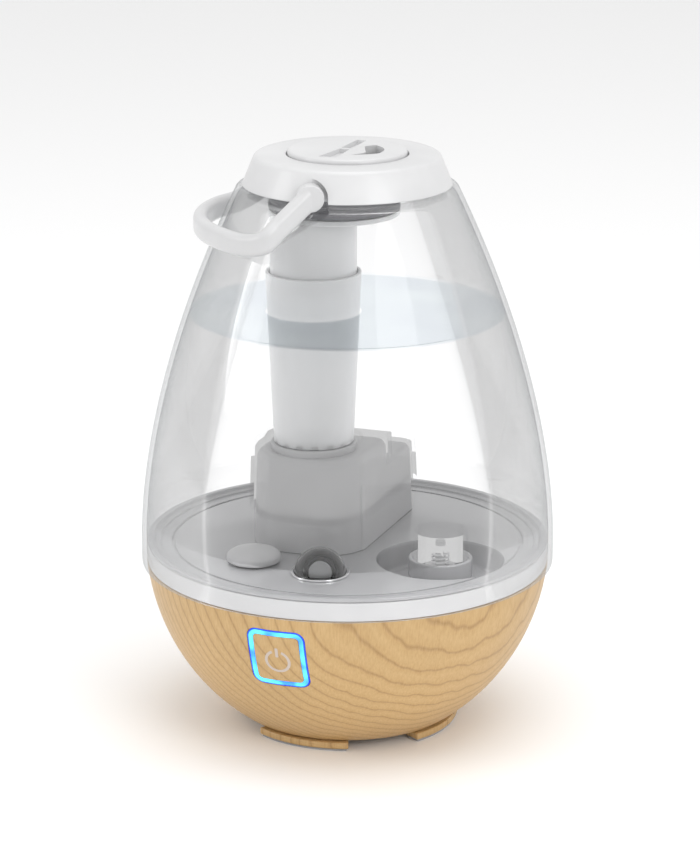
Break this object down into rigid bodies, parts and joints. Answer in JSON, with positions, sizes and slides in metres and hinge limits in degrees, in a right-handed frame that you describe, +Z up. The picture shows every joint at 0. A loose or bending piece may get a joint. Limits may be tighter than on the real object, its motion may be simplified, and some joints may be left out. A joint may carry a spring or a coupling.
{
  "type": "cool mist humidifier",
  "caption": "Egg-shaped cool mist humidifier with a wood-look bowl base, a clear lift-off tank with a mist tube, and a white cap with a turning nozzle and a swing handle.",
  "frame": {"origin": "middle of the base, on the surface that the feet stand on", "axes": "+Z up along the egg's axis, the power button faces -Y, the valve well is on +X, the swing handle hangs on -X"},
  "size_m": [0.2044, 0.2044, 0.2893],
  "materials": {
    "wood_look": "satin, printed light oak grain",
    "white_plastic": "satin white",
    "handle_plastic": "satin white",
    "grey_tray": "glossy light grey",
    "soft_grey": "matt",
    "dark_seal": "matt",
    "steel": "satin",
    "chrome_trim": "polished",
    "black_plastic": "fine texture",
    "lens_black": "glossy",
    "lens_core": "translucent",
    "circuit_board": "solder mask",
    "lit_ring": "translucent, lit blue",
    "button_face": "satin, printed light oak grain",
    "clear_tank": "clear, polished",
    "frosted_tube": "frosted"
  },
  "bodies": {
    "base": {"base_shell": "wood_look", "foot_1": "wood_look", "foot_2": "wood_look", "foot_3": "wood_look", "foot_4": "wood_look", "foot_pad_1": "soft_grey", "foot_pad_2": "soft_grey", "foot_pad_3": "soft_grey", "foot_pad_4": "soft_grey", "bottom_cover": "black_plastic", "cover_screw_1": "steel", "cover_screw_2": "steel", "cover_screw_3": "steel", "cover_screw_4": "steel", "base_ring": "white_plastic", "water_tray": "grey_tray", "mist_housing": "white_plastic", "transducer_seal": "soft_grey", "transducer": "steel", "transducer_clamp": "black_plastic", "float_post": "white_plastic", "light_dome": "lens_black", "light_core": "lens_core", "light_dome_ring": "chrome_trim", "fan_frame": "black_plastic", "fan_duct": "white_plastic", "control_board": "circuit_board", "board_screw_1": "steel", "board_screw_2": "steel", "board_screw_3": "steel", "board_screw_4": "steel", "light_ring": "lit_ring", "button_board": "circuit_board", "button_switch": "black_plastic", "power_inlet": "black_plastic"},
    "fan": {"fan_rotor": "black_plastic", "fan_shaft": "steel"},
    "button": {"power_button": "button_face"},
    "float": {"float": "white_plastic"},
    "tank": {"tank_shell": "clear_tank", "tank_floor": "clear_tank", "valve_cup": "grey_tray", "mist_tube_lower": "frosted_tube", "mist_tube_upper": "frosted_tube"},
    "valve": {"valve_stem": "grey_tray", "valve_seal": "soft_grey", "valve_spring": "steel"},
    "cap": {"cap_shell": "white_plastic", "mist_funnel": "white_plastic", "funnel_seal": "dark_seal"},
    "nozzle": {"nozzle": "white_plastic"},
    "handle": {"handle": "handle_plastic", "handle_pin_front": "steel", "handle_pin_side": "steel"}
  },
  "joints": [
    {"name": "fan_spin", "type": "hinge", "parent": "base", "child": "fan", "pos_m": [-0.005, 0.042, 0.07], "axis": [0, 0, 1], "continuous": true},
    {"name": "button_press", "type": "slide", "parent": "base", "child": "button", "axis": [0, 0.9502, 0.3118], "range_m": [0, 0.001], "stiffness_N_per_m": 400},
    {"name": "float_rise", "type": "slide", "parent": "base", "child": "float", "axis": [0, 0, 1], "range_m": [0, 0.004]},
    {"name": "tank_lift", "type": "slide", "parent": "base", "child": "tank", "axis": [0, 0, 1], "range_m": [0, 0.09]},
    {"name": "valve_open", "type": "slide", "parent": "tank", "child": "valve", "axis": [0, 0, 1], "range_m": [0, 0.003], "stiffness_N_per_m": 300, "deforming": ["valve_spring"]},
    {"name": "cap_lift", "type": "slide", "parent": "tank", "child": "cap", "axis": [0, 0, 1], "range_m": [0, 0.03]},
    {"name": "nozzle_turn", "type": "hinge", "parent": "cap", "child": "nozzle", "pos_m": [0, 0, 0.287], "axis": [0, 0, 1], "continuous": true},
    {"name": "handle_swing", "type": "hinge", "parent": "cap", "child": "handle", "pos_m": [-0.01915, -0.00893, 0.275], "axis": [-0.4226, 0.9063, 0], "range_deg": [0, 110]}
  ]
}
